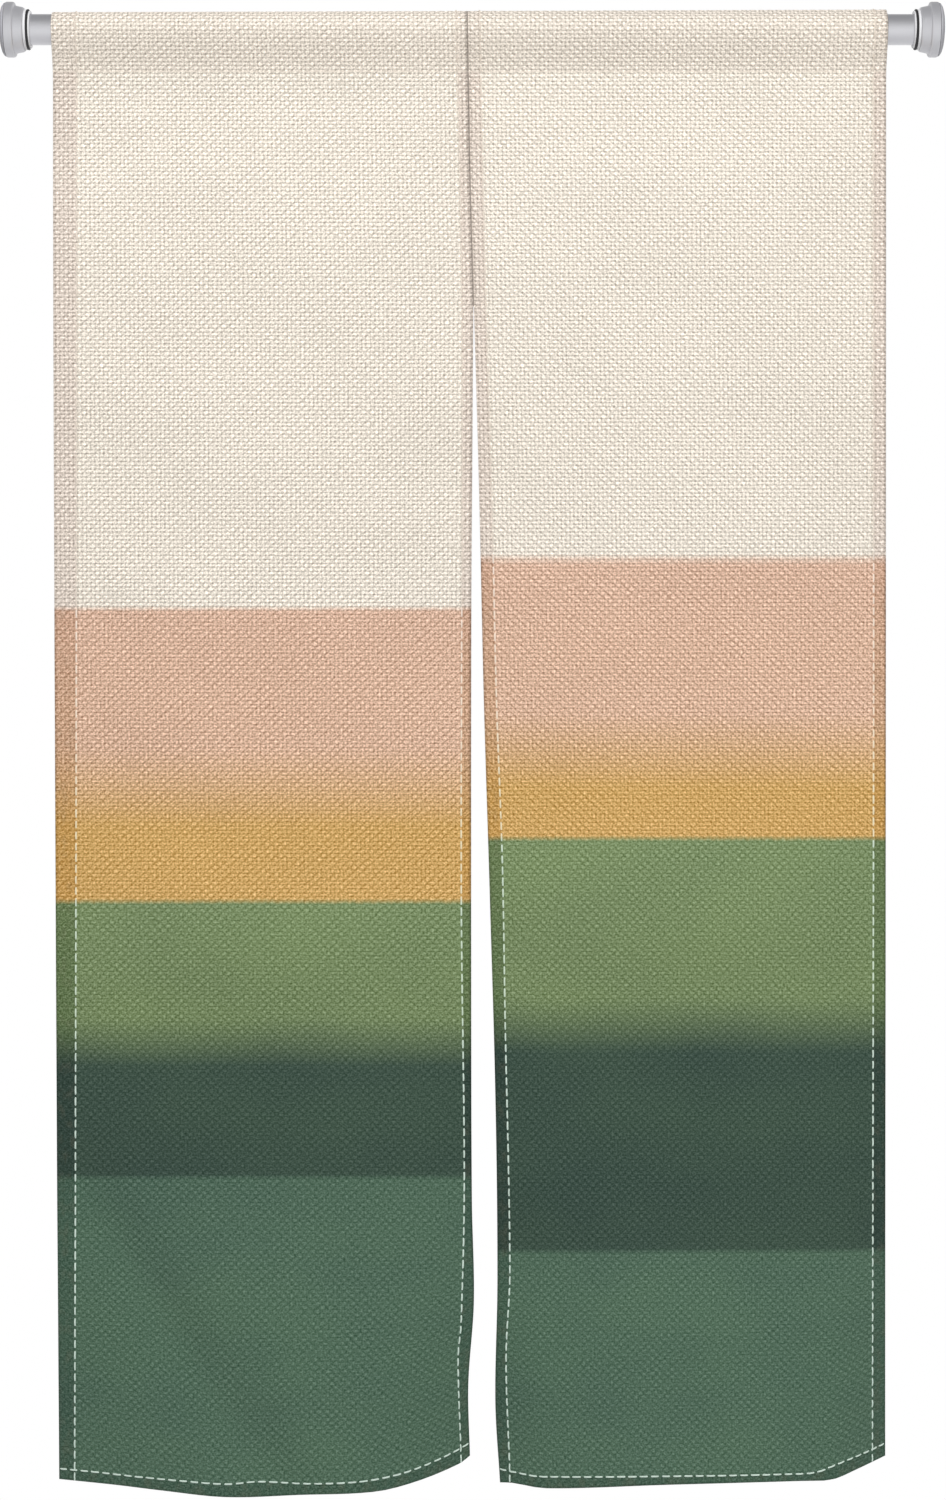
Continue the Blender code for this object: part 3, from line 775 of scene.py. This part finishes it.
    # Slubs, fibres and chance vary the threads' own tone. The round backs and floats are painted lighter as
    # highlight, and the grooves and crossings are painted darker as shade.
    thread_tone_and_painted_light = added(0.0, [
        (weft_rise, gain(*WEFT_GAIN)), (warp_rise, gain(*WARP_GAIN)), (crossing, gain(*FLOAT_GAIN)),
        (crossing_shade, gain(*CROSSING_SHADE_GAIN)), (weft_slub, WEFT_SLUB_GAIN), (uneven("warp_slub"), WARP_SLUB_GAIN),
        (chance, gain(*CHANCE_GAIN))])
    thread_tone_and_painted_light = add_node(tree, "ShaderNodeMath", thread_tone_and_painted_light, coarse, operation="MULTIPLY").outputs[0]
    thread_tone_and_painted_light = added(thread_tone_and_painted_light, [(fibre, gain(*FIBRE_GAIN)), (uneven("blotch"), BLOTCH_GAIN)])

    # Where the cloth is double it shows the turned tone, the pocket is painted a shade darker towards that
    # tone, dark dye is cloudy, and dyed hems are stained
    pocket_shade_change = added(POCKET_SHADE_TINT, [(hem, POCKET_HEM_SHADE_TINT - POCKET_SHADE_TINT - 1.0)])
    turned_and_pocket_shade = added(hem, [(pocket, pocket_shade_change)])
    dye = add_node(tree, "ShaderNodeMix", inputs={
        0: turned_and_pocket_shade, 6: face, 7: turned}, data_type="RGBA").outputs[2]
    cloud = add_node(tree, "ShaderNodeMath", uneven("cloud"), dark, operation="MULTIPLY").outputs[0]
    cloud = add_node(tree, "ShaderNodeVectorMath", CLOUD_TINT, inputs={"Scale": cloud}, operation="SCALE")
    cloud = add_node(tree, "ShaderNodeVectorMath", cloud.outputs[0], (1.0, 1.0, 1.0), operation="ADD")
    dye = add_node(tree, "ShaderNodeVectorMath", dye, cloud.outputs[0], operation="MULTIPLY").outputs[0]
    stain = add_node(tree, "ShaderNodeMapRange", uneven("stain"), 0.0, 0.22, 0.0, STAIN_SHARE).outputs[0]
    stain = add_node(tree, "ShaderNodeMath", stain, dyed_hem, operation="MULTIPLY").outputs[0]
    dye = add_node(tree, "ShaderNodeMix", inputs={
        0: stain, 6: dye, 7: srgb(STAIN)}, data_type="RGBA").outputs[2]

    # A painted shade darkens the dyed cut edges, where the rim turns away, and the strip below the pocket
    to_right = add_node(tree, "ShaderNodeMath", flat_width, across, operation="SUBTRACT").outputs[0]
    to_side = add_node(tree, "ShaderNodeMath", across, to_right, operation="MINIMUM").outputs[0]
    to_foot = add_node(tree, "ShaderNodeMath", up, BODY_LENGTH, operation="ADD").outputs[0]
    to_edge = add_node(tree, "ShaderNodeMath", to_side, to_foot, operation="MINIMUM").outputs[0]
    edge = add_node(tree, "ShaderNodeMapRange", to_edge, EDGE_SHADE_WIDTH, 0.0, 0.0, -EDGE_SHADE).outputs[0]
    pocket_painted_shade = add_node(
        tree, "ShaderNodeMapRange", up, POCKET_SHADE_FROM, POCKET_SHADE_TO, 0.0, pocket_shade).outputs[0]
    body = add_node(tree, "ShaderNodeMath", pocket, 1.0, operation="SUBTRACT").outputs[0]
    painted_shade_factor = added(1.0, [(edge, dyed), (pocket_painted_shade, body)])
    dye = add_node(tree, "ShaderNodeVectorMath", dye, inputs={"Scale": painted_shade_factor}, operation="SCALE").outputs[0]

    # The threads' tone and painted light are added where the eye sees even steps of light
    contrast = added(CONTRAST_LEAST, [(lightness, CONTRAST_RISE)])
    contrast = add_node(tree, "ShaderNodeMath", contrast, CONTRAST_MOST, operation="MINIMUM").outputs[0]
    thread_tone_and_painted_light = add_node(tree, "ShaderNodeMath", thread_tone_and_painted_light, contrast, operation="MULTIPLY").outputs[0]
    even_light = add_node(tree, "ShaderNodeGamma", dye, 1 / DISPLAY_GAMMA).outputs[0]
    threads = add_node(tree, "ShaderNodeVectorMath", even_light, thread_tone_and_painted_light, operation="ADD").outputs[0]
    colour = add_node(tree, "ShaderNodeGamma", threads, DISPLAY_GAMMA).outputs[0]
    tree.links.new(colour, shader.inputs["Base Color"])

    # Relief too fine for the mesh: round threads, slubs and fibres, sunk along the sewn lines
    height = added(0.0, [(warp_back, 0.4), (weft_back, 0.6), (crossing, 0.5)])
    height = add_node(tree, "ShaderNodeMath", height, coarse, operation="MULTIPLY").outputs[0]
    near = add_node(tree, "ShaderNodeMath", inside, SUNK_WIDTH, operation="DIVIDE").outputs[0]
    near = add_node(tree, "ShaderNodeMath", near, 2.0, operation="POWER").outputs[0]
    near = add_node(tree, "ShaderNodeMath", near, -1.0, operation="MULTIPLY").outputs[0]
    sunk = add_node(tree, "ShaderNodeMath", near, operation="EXPONENT").outputs[0]
    height = added(height, [(weft_slub, 0.5), (fibre, 0.4), (sunk, -1.2)])
    bump = add_node(tree, "ShaderNodeBump", inputs={"Height": height, "Strength": 0.55, "Distance": 0.00035})
    tree.links.new(bump.outputs[0], shader.inputs["Normal"])
    shader.inputs["Roughness"].default_value = 0.92
    shader.inputs["Specular IOR Level"].default_value = 0.12
    shader.inputs["Sheen Weight"].default_value = 0.06
    shader.inputs["Sheen Roughness"].default_value = 0.6
    return material


left_cloth = dyed_cloth(
    "banded_cotton_linen_left", LEFT_BANDS, LEFT_WIDTH, FLOAT_LEAN, LEFT_POCKET_SHADE)
right_cloth = dyed_cloth(
    "banded_cotton_linen_right", RIGHT_BANDS, RIGHT_WIDTH, -FLOAT_LEAN, RIGHT_POCKET_SHADE)
curtain_left = cloth_panel("left", LEFT_WIDTH, [left_cloth])
curtain_right = cloth_panel("right", RIGHT_WIDTH, [right_cloth])
for panel, node in ((curtain_left, "panel_left"), (curtain_right, "panel_right")):
    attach(panel, "root")
    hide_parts(node)


# Sewing: a coarse pale thread holds every hem with stitches about 7 mm long on both faces, and a
# fine thread of the cloth's own colour holds the pocket. A thread whose dark colour is partly the
# seam groove's painted shade joins the panels' edges.
HEM_PITCH = 0.0113
HEM_STITCH = 0.0078
HEM_THREAD = 0.00092
FINE_PITCH = 0.0032
FINE_STITCH = 0.0030
FINE_THREAD = 0.00026
JOIN_PITCH = 0.0040
JOIN_STITCH = 0.0046
JOIN_THREAD = 0.00044
JOIN_PAST_SLIT = 0.002
JOIN_INSET = 0.003
JOIN_BEHIND = 0.0014

# Form of one stitch, its ends and its crown in thread radii, and the smallest and largest by chance
ARCH_DEPTH = -0.9
ARCH_HEIGHT = 1.6
STITCH_STEPS = 6
STITCH_LEAST = (0.90, 0.92, 0.66)
STITCH_MOST = (1.05, 1.06, 0.74)

# Where rows of stitches start and end, and where the pocket begins to hide the inner ones
ROW_LIFT = 0.0002
HEM_ROW_INSET = 0.0048
HEM_ROW_POINTS = 700
FOOT_ROW_SHARES = (0.0115, 0.9885)
FOOT_ROW_POINTS = 200
POCKET_ROW_SHARES = (0.003, 0.997)
SHORT_ROW_POINTS = 160
HIDDEN_ABOVE = -0.008
FLUFF_SCALE = 900.0

stitching = bpy.data.node_groups.new("row_of_stitches", "GeometryNodeTree")
STITCH_INPUTS = {}
for socket_name, socket_type in (
        ("Guide", "NodeSocketGeometry"), ("Pitch", "NodeSocketFloat"), ("Length", "NodeSocketFloat"),
        ("Thread", "NodeSocketFloat"), ("Seed", "NodeSocketInt"), ("Material", "NodeSocketMaterial")):
    socket = stitching.interface.new_socket(socket_name, in_out="INPUT", socket_type=socket_type)
    STITCH_INPUTS[socket_name] = socket.identifier
stitching.interface.new_socket("Stitches", in_out="OUTPUT", socket_type="NodeSocketGeometry")
given = stitching.nodes.new("NodeGroupInput").outputs
row = add_node(stitching, "GeometryNodeMeshToCurve", inputs={"Mesh": given["Guide"]})
row = add_node(stitching, "GeometryNodeResampleCurve", inputs={
    "Curve": row.outputs[0], "Length": given["Pitch"]}, mode="LENGTH")
outward = add_node(
    stitching, "GeometryNodeInputNamedAttribute", inputs={"Name": "outward"}, data_type="FLOAT_VECTOR")
along = add_node(stitching, "GeometryNodeInputTangent")
facing = add_node(stitching, "FunctionNodeAxesToRotation", inputs={
    "Primary Axis": outward.outputs[0], "Secondary Axis": along.outputs[0],
}, primary_axis="Z", secondary_axis="X")
half = add_node(stitching, "ShaderNodeMath", given["Length"], 0.5, operation="MULTIPLY").outputs[0]
back = add_node(stitching, "ShaderNodeMath", given["Length"], -0.5, operation="MULTIPLY").outputs[0]
deep = add_node(stitching, "ShaderNodeMath", given["Thread"], ARCH_DEPTH, operation="MULTIPLY").outputs[0]
high = add_node(stitching, "ShaderNodeMath", given["Thread"], ARCH_HEIGHT, operation="MULTIPLY").outputs[0]
start = add_node(stitching, "ShaderNodeCombineXYZ", inputs={"X": back, "Z": deep}).outputs[0]
middle = add_node(stitching, "ShaderNodeCombineXYZ", inputs={"Z": high}).outputs[0]
end = add_node(stitching, "ShaderNodeCombineXYZ", inputs={"X": half, "Z": deep}).outputs[0]
arch = add_node(stitching, "GeometryNodeCurveQuadraticBezier", inputs={
    "Resolution": STITCH_STEPS, "Start": start, "Middle": middle, "End": end})
round_thread = add_node(stitching, "GeometryNodeCurvePrimitiveCircle", inputs={
    "Resolution": STITCH_STEPS, "Radius": given["Thread"]})
thread = add_node(stitching, "GeometryNodeCurveToMesh", inputs={
    "Curve": arch.outputs[0], "Profile Curve": round_thread.outputs[0], "Fill Caps": True})
thread = add_node(stitching, "GeometryNodeSetShadeSmooth", inputs={"Geometry": thread.outputs[0]})
stitch_size = add_node(stitching, "FunctionNodeRandomValue", inputs={
    "Min": STITCH_LEAST, "Max": STITCH_MOST, "Seed": given["Seed"]}, data_type="FLOAT_VECTOR")
sewn = add_node(stitching, "GeometryNodeInstanceOnPoints", inputs={
    "Points": row.outputs[0], "Instance": thread.outputs[0], "Rotation": facing.outputs[0],
    "Scale": stitch_size.outputs[0]})
sewn = add_node(stitching, "GeometryNodeRealizeInstances", inputs={"Geometry": sewn.outputs[0]})
sewn = add_node(stitching, "GeometryNodeSetMaterial", inputs={
    "Geometry": sewn.outputs[0], "Material": given["Material"]})
add_node(stitching, "NodeGroupOutput", inputs={0: sewn.outputs[0]})


def sew(name, guides, pitch, length, thread, material, seed):
    """Mesh of stitches along guides, each a row of points and outward directions."""
    points = np.concatenate([guide[0] for guide in guides])
    outward_at = np.concatenate([guide[1] for guide in guides])
    edges = []
    first = 0
    for guide in guides:
        edges += [(first + i, first + i + 1) for i in range(len(guide[0]) - 1)]
        first += len(guide[0])
    guide_mesh = bpy.data.meshes.new(name + "_guide")
    guide_mesh.from_pydata(points.tolist(), edges, [])
    outward_values = guide_mesh.attributes.new("outward", "FLOAT_VECTOR", "POINT").data
    outward_values.foreach_set("vector", outward_at.ravel())
    piece = bpy.data.objects.new(name, guide_mesh)
    scene.collection.objects.link(piece)
    modifier = piece.modifiers.new("stitches", "NODES")
    modifier.node_group = stitching
    for socket_name, value in (
            ("Pitch", pitch), ("Length", length), ("Thread", thread), ("Seed", seed), ("Material", material)):
        modifier[STITCH_INPUTS[socket_name]] = value
    evaluated = piece.evaluated_get(bpy.context.evaluated_depsgraph_get())
    mesh = bpy.data.meshes.new_from_object(evaluated)
    mesh.name = name
    piece.modifiers.clear()
    piece.data = mesh
    bpy.data.meshes.remove(guide_mesh)
    return piece


def thread_material(name, bands):
    """Cotton thread that has taken some of its band's dye. It is fluffy, matt and paler than the cloth."""
    material = bpy.data.materials.new(name)
    material.use_nodes = True
    tree = material.node_tree
    shader = tree.nodes["Principled BSDF"]
    place = add_node(tree, "ShaderNodeTexCoord").outputs["Object"]
    height = add_node(tree, "ShaderNodeSeparateXYZ", place).outputs["Z"]
    drop = add_node(tree, "ShaderNodeMath", POCKET_SEAM_Z, height, operation="SUBTRACT").outputs[0]
    level = add_node(tree, "ShaderNodeMath", drop, BAND_END, operation="DIVIDE").outputs[0]
    tint = band_colour(tree, level, bands, THREAD_TONE)
    fluff = add_node(tree, "ShaderNodeTexNoise", inputs={
        "Vector": place, "Scale": FLUFF_SCALE, "Detail": 2.0}).outputs[0]
    bright = add_node(tree, "ShaderNodeMath", fluff, 0.30, 0.85, operation="MULTIPLY_ADD").outputs[0]
    colour = add_node(tree, "ShaderNodeVectorMath", tint, inputs={"Scale": bright}, operation="SCALE")
    tree.links.new(colour.outputs[0], shader.inputs["Base Color"])
    shader.inputs["Roughness"].default_value = 0.8
    shader.inputs["Specular IOR Level"].default_value = 0.2
    return material


def rows_on_cloth(side, share, flat, layers_behind):
    """Guides of a sewn line on the outer and on the inner face of the cloth."""
    points, normals = cloth_frames(side, share, flat)
    front = points + normals * (CLOTH / 2 + ROW_LIFT)
    behind = points - normals * (CLOTH * (layers_behind - 0.5) + ROW_LIFT)
    return (front, normals), (behind, -normals)


def hem_guides(side):
    """Guides of the three hems of a panel, on both faces."""
    flat = np.linspace(-BODY_LENGTH + HEM_ROW_INSET, CLOTH_TOP - HEM_ROW_INSET, HEM_ROW_POINTS)
    heights = np.where(flat > 0.0, np.interp(flat, POCKET_AT, POCKET_Z), POCKET_SEAM_Z + flat)
    guides = []
    for end in (0, 1):
        share = hem_places(side, heights, 0.0)[end]
        points = cloth_surface(side, share, flat)
        scale = (points[:, 1] - EYE[1]) / -EYE[1]
        seen = np.where(flat > 0.0, heights, EYE[2] + (points[:, 2] - EYE[2]) / scale)
        share = hem_places(side, seen, 0.0)[end]
        outer_row, inner_row = rows_on_cloth(side, share, flat, 2)
        hanging = flat < HIDDEN_ABOVE
        guides += [outer_row, (inner_row[0][hanging], inner_row[1][hanging])]
    share = np.linspace(*FOOT_ROW_SHARES, FOOT_ROW_POINTS)
    guides += rows_on_cloth(side, share, foot_hem_height(side, share) - BODY_LENGTH, 2)
    return guides


def pocket_guides(side):
    """Guides of the pocket's sewn line, in front and on the flap behind."""
    share = np.linspace(*POCKET_ROW_SHARES, SHORT_ROW_POINTS)
    front = rows_on_cloth(side, share, np.zeros(SHORT_ROW_POINTS), 1)[0]
    behind = rows_on_cloth(side, share, np.full(SHORT_ROW_POINTS, CLOTH_TOP - FLAP_LENGTH), 1)[0]
    return [front, behind]


sewing_pieces = []
for side, bands, seed in (("left", LEFT_BANDS, 3), ("right", RIGHT_BANDS, 8)):
    cotton = thread_material("pale_cotton_thread_" + side, bands)
    hems = sew("hem_stitches_" + side, hem_guides(side), HEM_PITCH, HEM_STITCH, HEM_THREAD, cotton, seed)
    pocket = sew(
        "pocket_stitches_" + side, pocket_guides(side), FINE_PITCH, FINE_STITCH, FINE_THREAD, cotton, seed)
    sewing_pieces.append((hems, pocket))

# The join's thread is dull, and its darker colour is partly painted shade of the seam's groove, so that
# the seam shows as a thin line
join_cotton_painted_shade = bpy.data.materials.new("join_thread_painted_shade")
join_cotton_painted_shade.use_nodes = True
join_cotton_painted_shade.node_tree.nodes["Principled BSDF"].inputs["Base Color"].default_value = srgb("#b4a99f")
join_cotton_painted_shade.node_tree.nodes["Principled BSDF"].inputs["Roughness"].default_value = 0.85
join_foot = SLIT_TOP_Z - POCKET_SEAM_Z - JOIN_PAST_SLIT
join_flat = np.linspace(join_foot, CLOTH_TOP - JOIN_INSET, SHORT_ROW_POINTS)
join_points, join_normals = cloth_frames("right", np.zeros(SHORT_ROW_POINTS), join_flat)
join_points[:, 0] -= SEAM_GAP / 2
join_front = join_points + join_normals * ROW_LIFT
join_behind = join_points - join_normals * JOIN_BEHIND
hanging = join_flat < HIDDEN_ABOVE
join_seam = sew("join_seam", [(join_front, join_normals), (join_behind[hanging], -join_normals[hanging])],
                JOIN_PITCH, JOIN_STITCH, JOIN_THREAD, join_cotton_painted_shade, 5)

for piece in (*sewing_pieces[0], *sewing_pieces[1], join_seam):
    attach(piece, "root")


# Rod ends: each is a moulded grey-white plastic cap with a wide flange and a tapered collar, a white
# sleeve that grips the tube, a black rubber ring round the sleeve, and a rubber pad for the wall.
ROD_SPAN = 0.960
TURN_STEPS = 96
ROUNDING_STEPS = 6
SHARP_FROM = math.radians(35)
GRAIN_HEIGHT = 0.0003


def rounded(corners):
    """Profile through corners (x, radius, size of the rounding), with each corner eased."""
    profile = []
    for number, (x, radius, size) in enumerate(corners):
        corner = np.array([x, radius])
        if size == 0.0:
            profile.append(corner)
            continue
        before = np.array(corners[number - 1][:2]) - corner
        after = np.array(corners[(number + 1) % len(corners)][:2]) - corner
        start = corner + before / np.linalg.norm(before) * size
        end = corner + after / np.linalg.norm(after) * size
        for t in np.linspace(0.0, 1.0, ROUNDING_STEPS):
            profile.append((1 - t) ** 2 * start + 2 * t * (1 - t) * corner + t * t * end)
    return profile


def turned_piece(name, corners, right_end, material, node):
    """Closed profile turned about the rod's axis, at the left end or mirrored at the right one."""
    profile = rounded(corners)
    count = len(profile)
    points = []
    for step in range(TURN_STEPS):
        angle = math.tau * step / TURN_STEPS
        for x, radius in profile:
            place = ROD_SPAN - x if right_end else x
            points.append((place, radius * math.sin(angle), radius * math.cos(angle)))
    faces = []
    for step in range(TURN_STEPS):
        after = (step + 1) % TURN_STEPS
        for i in range(count):
            j = (i + 1) % count
            face = (step * count + i, after * count + i, after * count + j, step * count + j)
            faces.append(face[::-1] if right_end else face)
    mesh = bpy.data.meshes.new(name)
    mesh.from_pydata(points, [], faces)
    mesh.materials.append(material)
    mesh.shade_smooth()
    mesh.set_sharp_from_angle(angle=SHARP_FROM)
    piece = bpy.data.objects.new(name, mesh)
    scene.collection.objects.link(piece)
    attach(piece, "root")
    if node:
        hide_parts(node)
    return piece


def plain_material(name, colour, roughness, metallic=0.0, grain=0.0, grain_scale=400.0):
    """Even material with a fine grain in its surface."""
    material = bpy.data.materials.new(name)
    material.use_nodes = True
    tree = material.node_tree
    shader = tree.nodes["Principled BSDF"]
    shader.inputs["Base Color"].default_value = srgb(colour)
    shader.inputs["Roughness"].default_value = roughness
    shader.inputs["Metallic"].default_value = metallic
    if grain:
        place = add_node(tree, "ShaderNodeTexCoord").outputs["Object"]
        speckle = add_node(tree, "ShaderNodeTexNoise", inputs={
            "Vector": place, "Scale": grain_scale, "Detail": 3.0}).outputs[0]
        bump = add_node(tree, "ShaderNodeBump", inputs={
            "Height": speckle, "Strength": grain, "Distance": GRAIN_HEIGHT})
        tree.links.new(bump.outputs[0], shader.inputs["Normal"])
    return material


# The caps mirror the studio softly in a satin grey, the sleeves are white and a little glossy, the
# rings are a dull black, the pads pale, matt and rough, and the tube's enamel shines along its length
cap_plastic = plain_material("moulded_grey_plastic", "#d8d8dc", 0.36, metallic=0.65, grain=0.08)
sleeve_plastic = plain_material("white_sleeve_plastic", "#f0f0f2", 0.35)
ring_rubber = plain_material("black_rubber", "#2b2b2d", 0.60)
pad_rubber = plain_material("non_slip_grey_rubber", "#b9b9be", 0.85, grain=0.9, grain_scale=700.0)
tube_enamel = plain_material("silver_enamel_on_steel", "#e2e2e6", 0.30, metallic=0.85)

CAP = (
    (0.0049, 0.0080, 0.0), (0.0049, 0.0278, 0.0016), (0.0140, 0.0278, 0.0022), (0.0140, 0.0241, 0.0007),
    (0.0238, 0.0221, 0.0020), (0.0238, 0.0180, 0.0003), (0.0120, 0.0180, 0.0), (0.0120, 0.0080, 0.0),
)
SLEEVE = (
    (0.0122, 0.0158, 0.0), (0.0122, 0.0178, 0.0), (0.0239, 0.0178, 0.0), (0.0239, 0.0206, 0.0004),
    (0.0263, 0.0202, 0.0005), (0.0263, 0.0178, 0.0), (0.0287, 0.0178, 0.0), (0.0287, 0.0189, 0.0003),
    (0.0302, 0.0187, 0.0005), (0.0302, 0.0158, 0.0003),
)
RING = (
    (0.0264, 0.0181, 0.0004), (0.0264, 0.0205, 0.0010), (0.0286, 0.0205, 0.0010), (0.0286, 0.0181, 0.0004),
)
PAD = (
    (0.0, 0.0020, 0.0), (0.0, 0.0180, 0.0), (0.0004, 0.0206, 0.0), (0.0015, 0.0240, 0.0),
    (0.0030, 0.0262, 0.0), (0.0038, 0.0268, 0.0005), (0.0046, 0.0268, 0.0), (0.0046, 0.0020, 0.0),
)
for end, right_end in (("left", False), ("right", True)):
    cap = turned_piece("end_cap_" + end, CAP, right_end, cap_plastic, "cap_" + end)
    sleeve = turned_piece("cap_sleeve_" + end, SLEEVE, right_end, sleeve_plastic, None)
    ring = turned_piece("seal_ring_" + end, RING, right_end, ring_rubber, "ring_" + end)
    pad = turned_piece("foot_pad_" + end, PAD, right_end, pad_rubber, "pad_" + end)

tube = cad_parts["rod_tube"]
for material_slot in tube.material_slots:
    material_slot.material = tube_enamel
